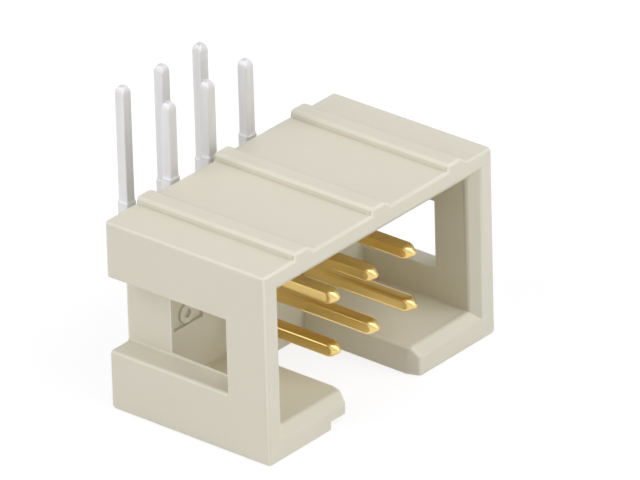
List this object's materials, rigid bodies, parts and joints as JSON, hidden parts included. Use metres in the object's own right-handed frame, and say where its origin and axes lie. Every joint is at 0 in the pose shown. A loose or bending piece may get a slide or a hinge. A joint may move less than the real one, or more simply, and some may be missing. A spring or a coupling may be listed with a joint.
{
  "type": "right-angle box header",
  "caption": "Right-angle box header: a keyed plastic shroud around two rows of bent square contacts, soldered to a board and mated with a ribbon-cable socket.",
  "frame": {"origin": "centre of the overall box, on the plane of the wall with the key slot, which the part rests on", "axes": "+X along the rows of contacts, -Y out of the mating mouth, +Z towards the circuit board, along the solder tails"},
  "size_m": [0.0152, 0.0122, 0.0124],
  "materials": {
    "housing_plastic": "fine matte moulded surface, beige grey",
    "contact_metal": "drawn copper alloy, gold plated in the cavity and tin plated on the tails"
  },
  "bodies": {
    "root": {"housing": "housing_plastic", "short_contact_1": "contact_metal", "short_contact_2": "contact_metal", "short_contact_3": "contact_metal", "long_contact_1": "contact_metal", "long_contact_2": "contact_metal", "long_contact_3": "contact_metal"}
  },
  "joints": []
}
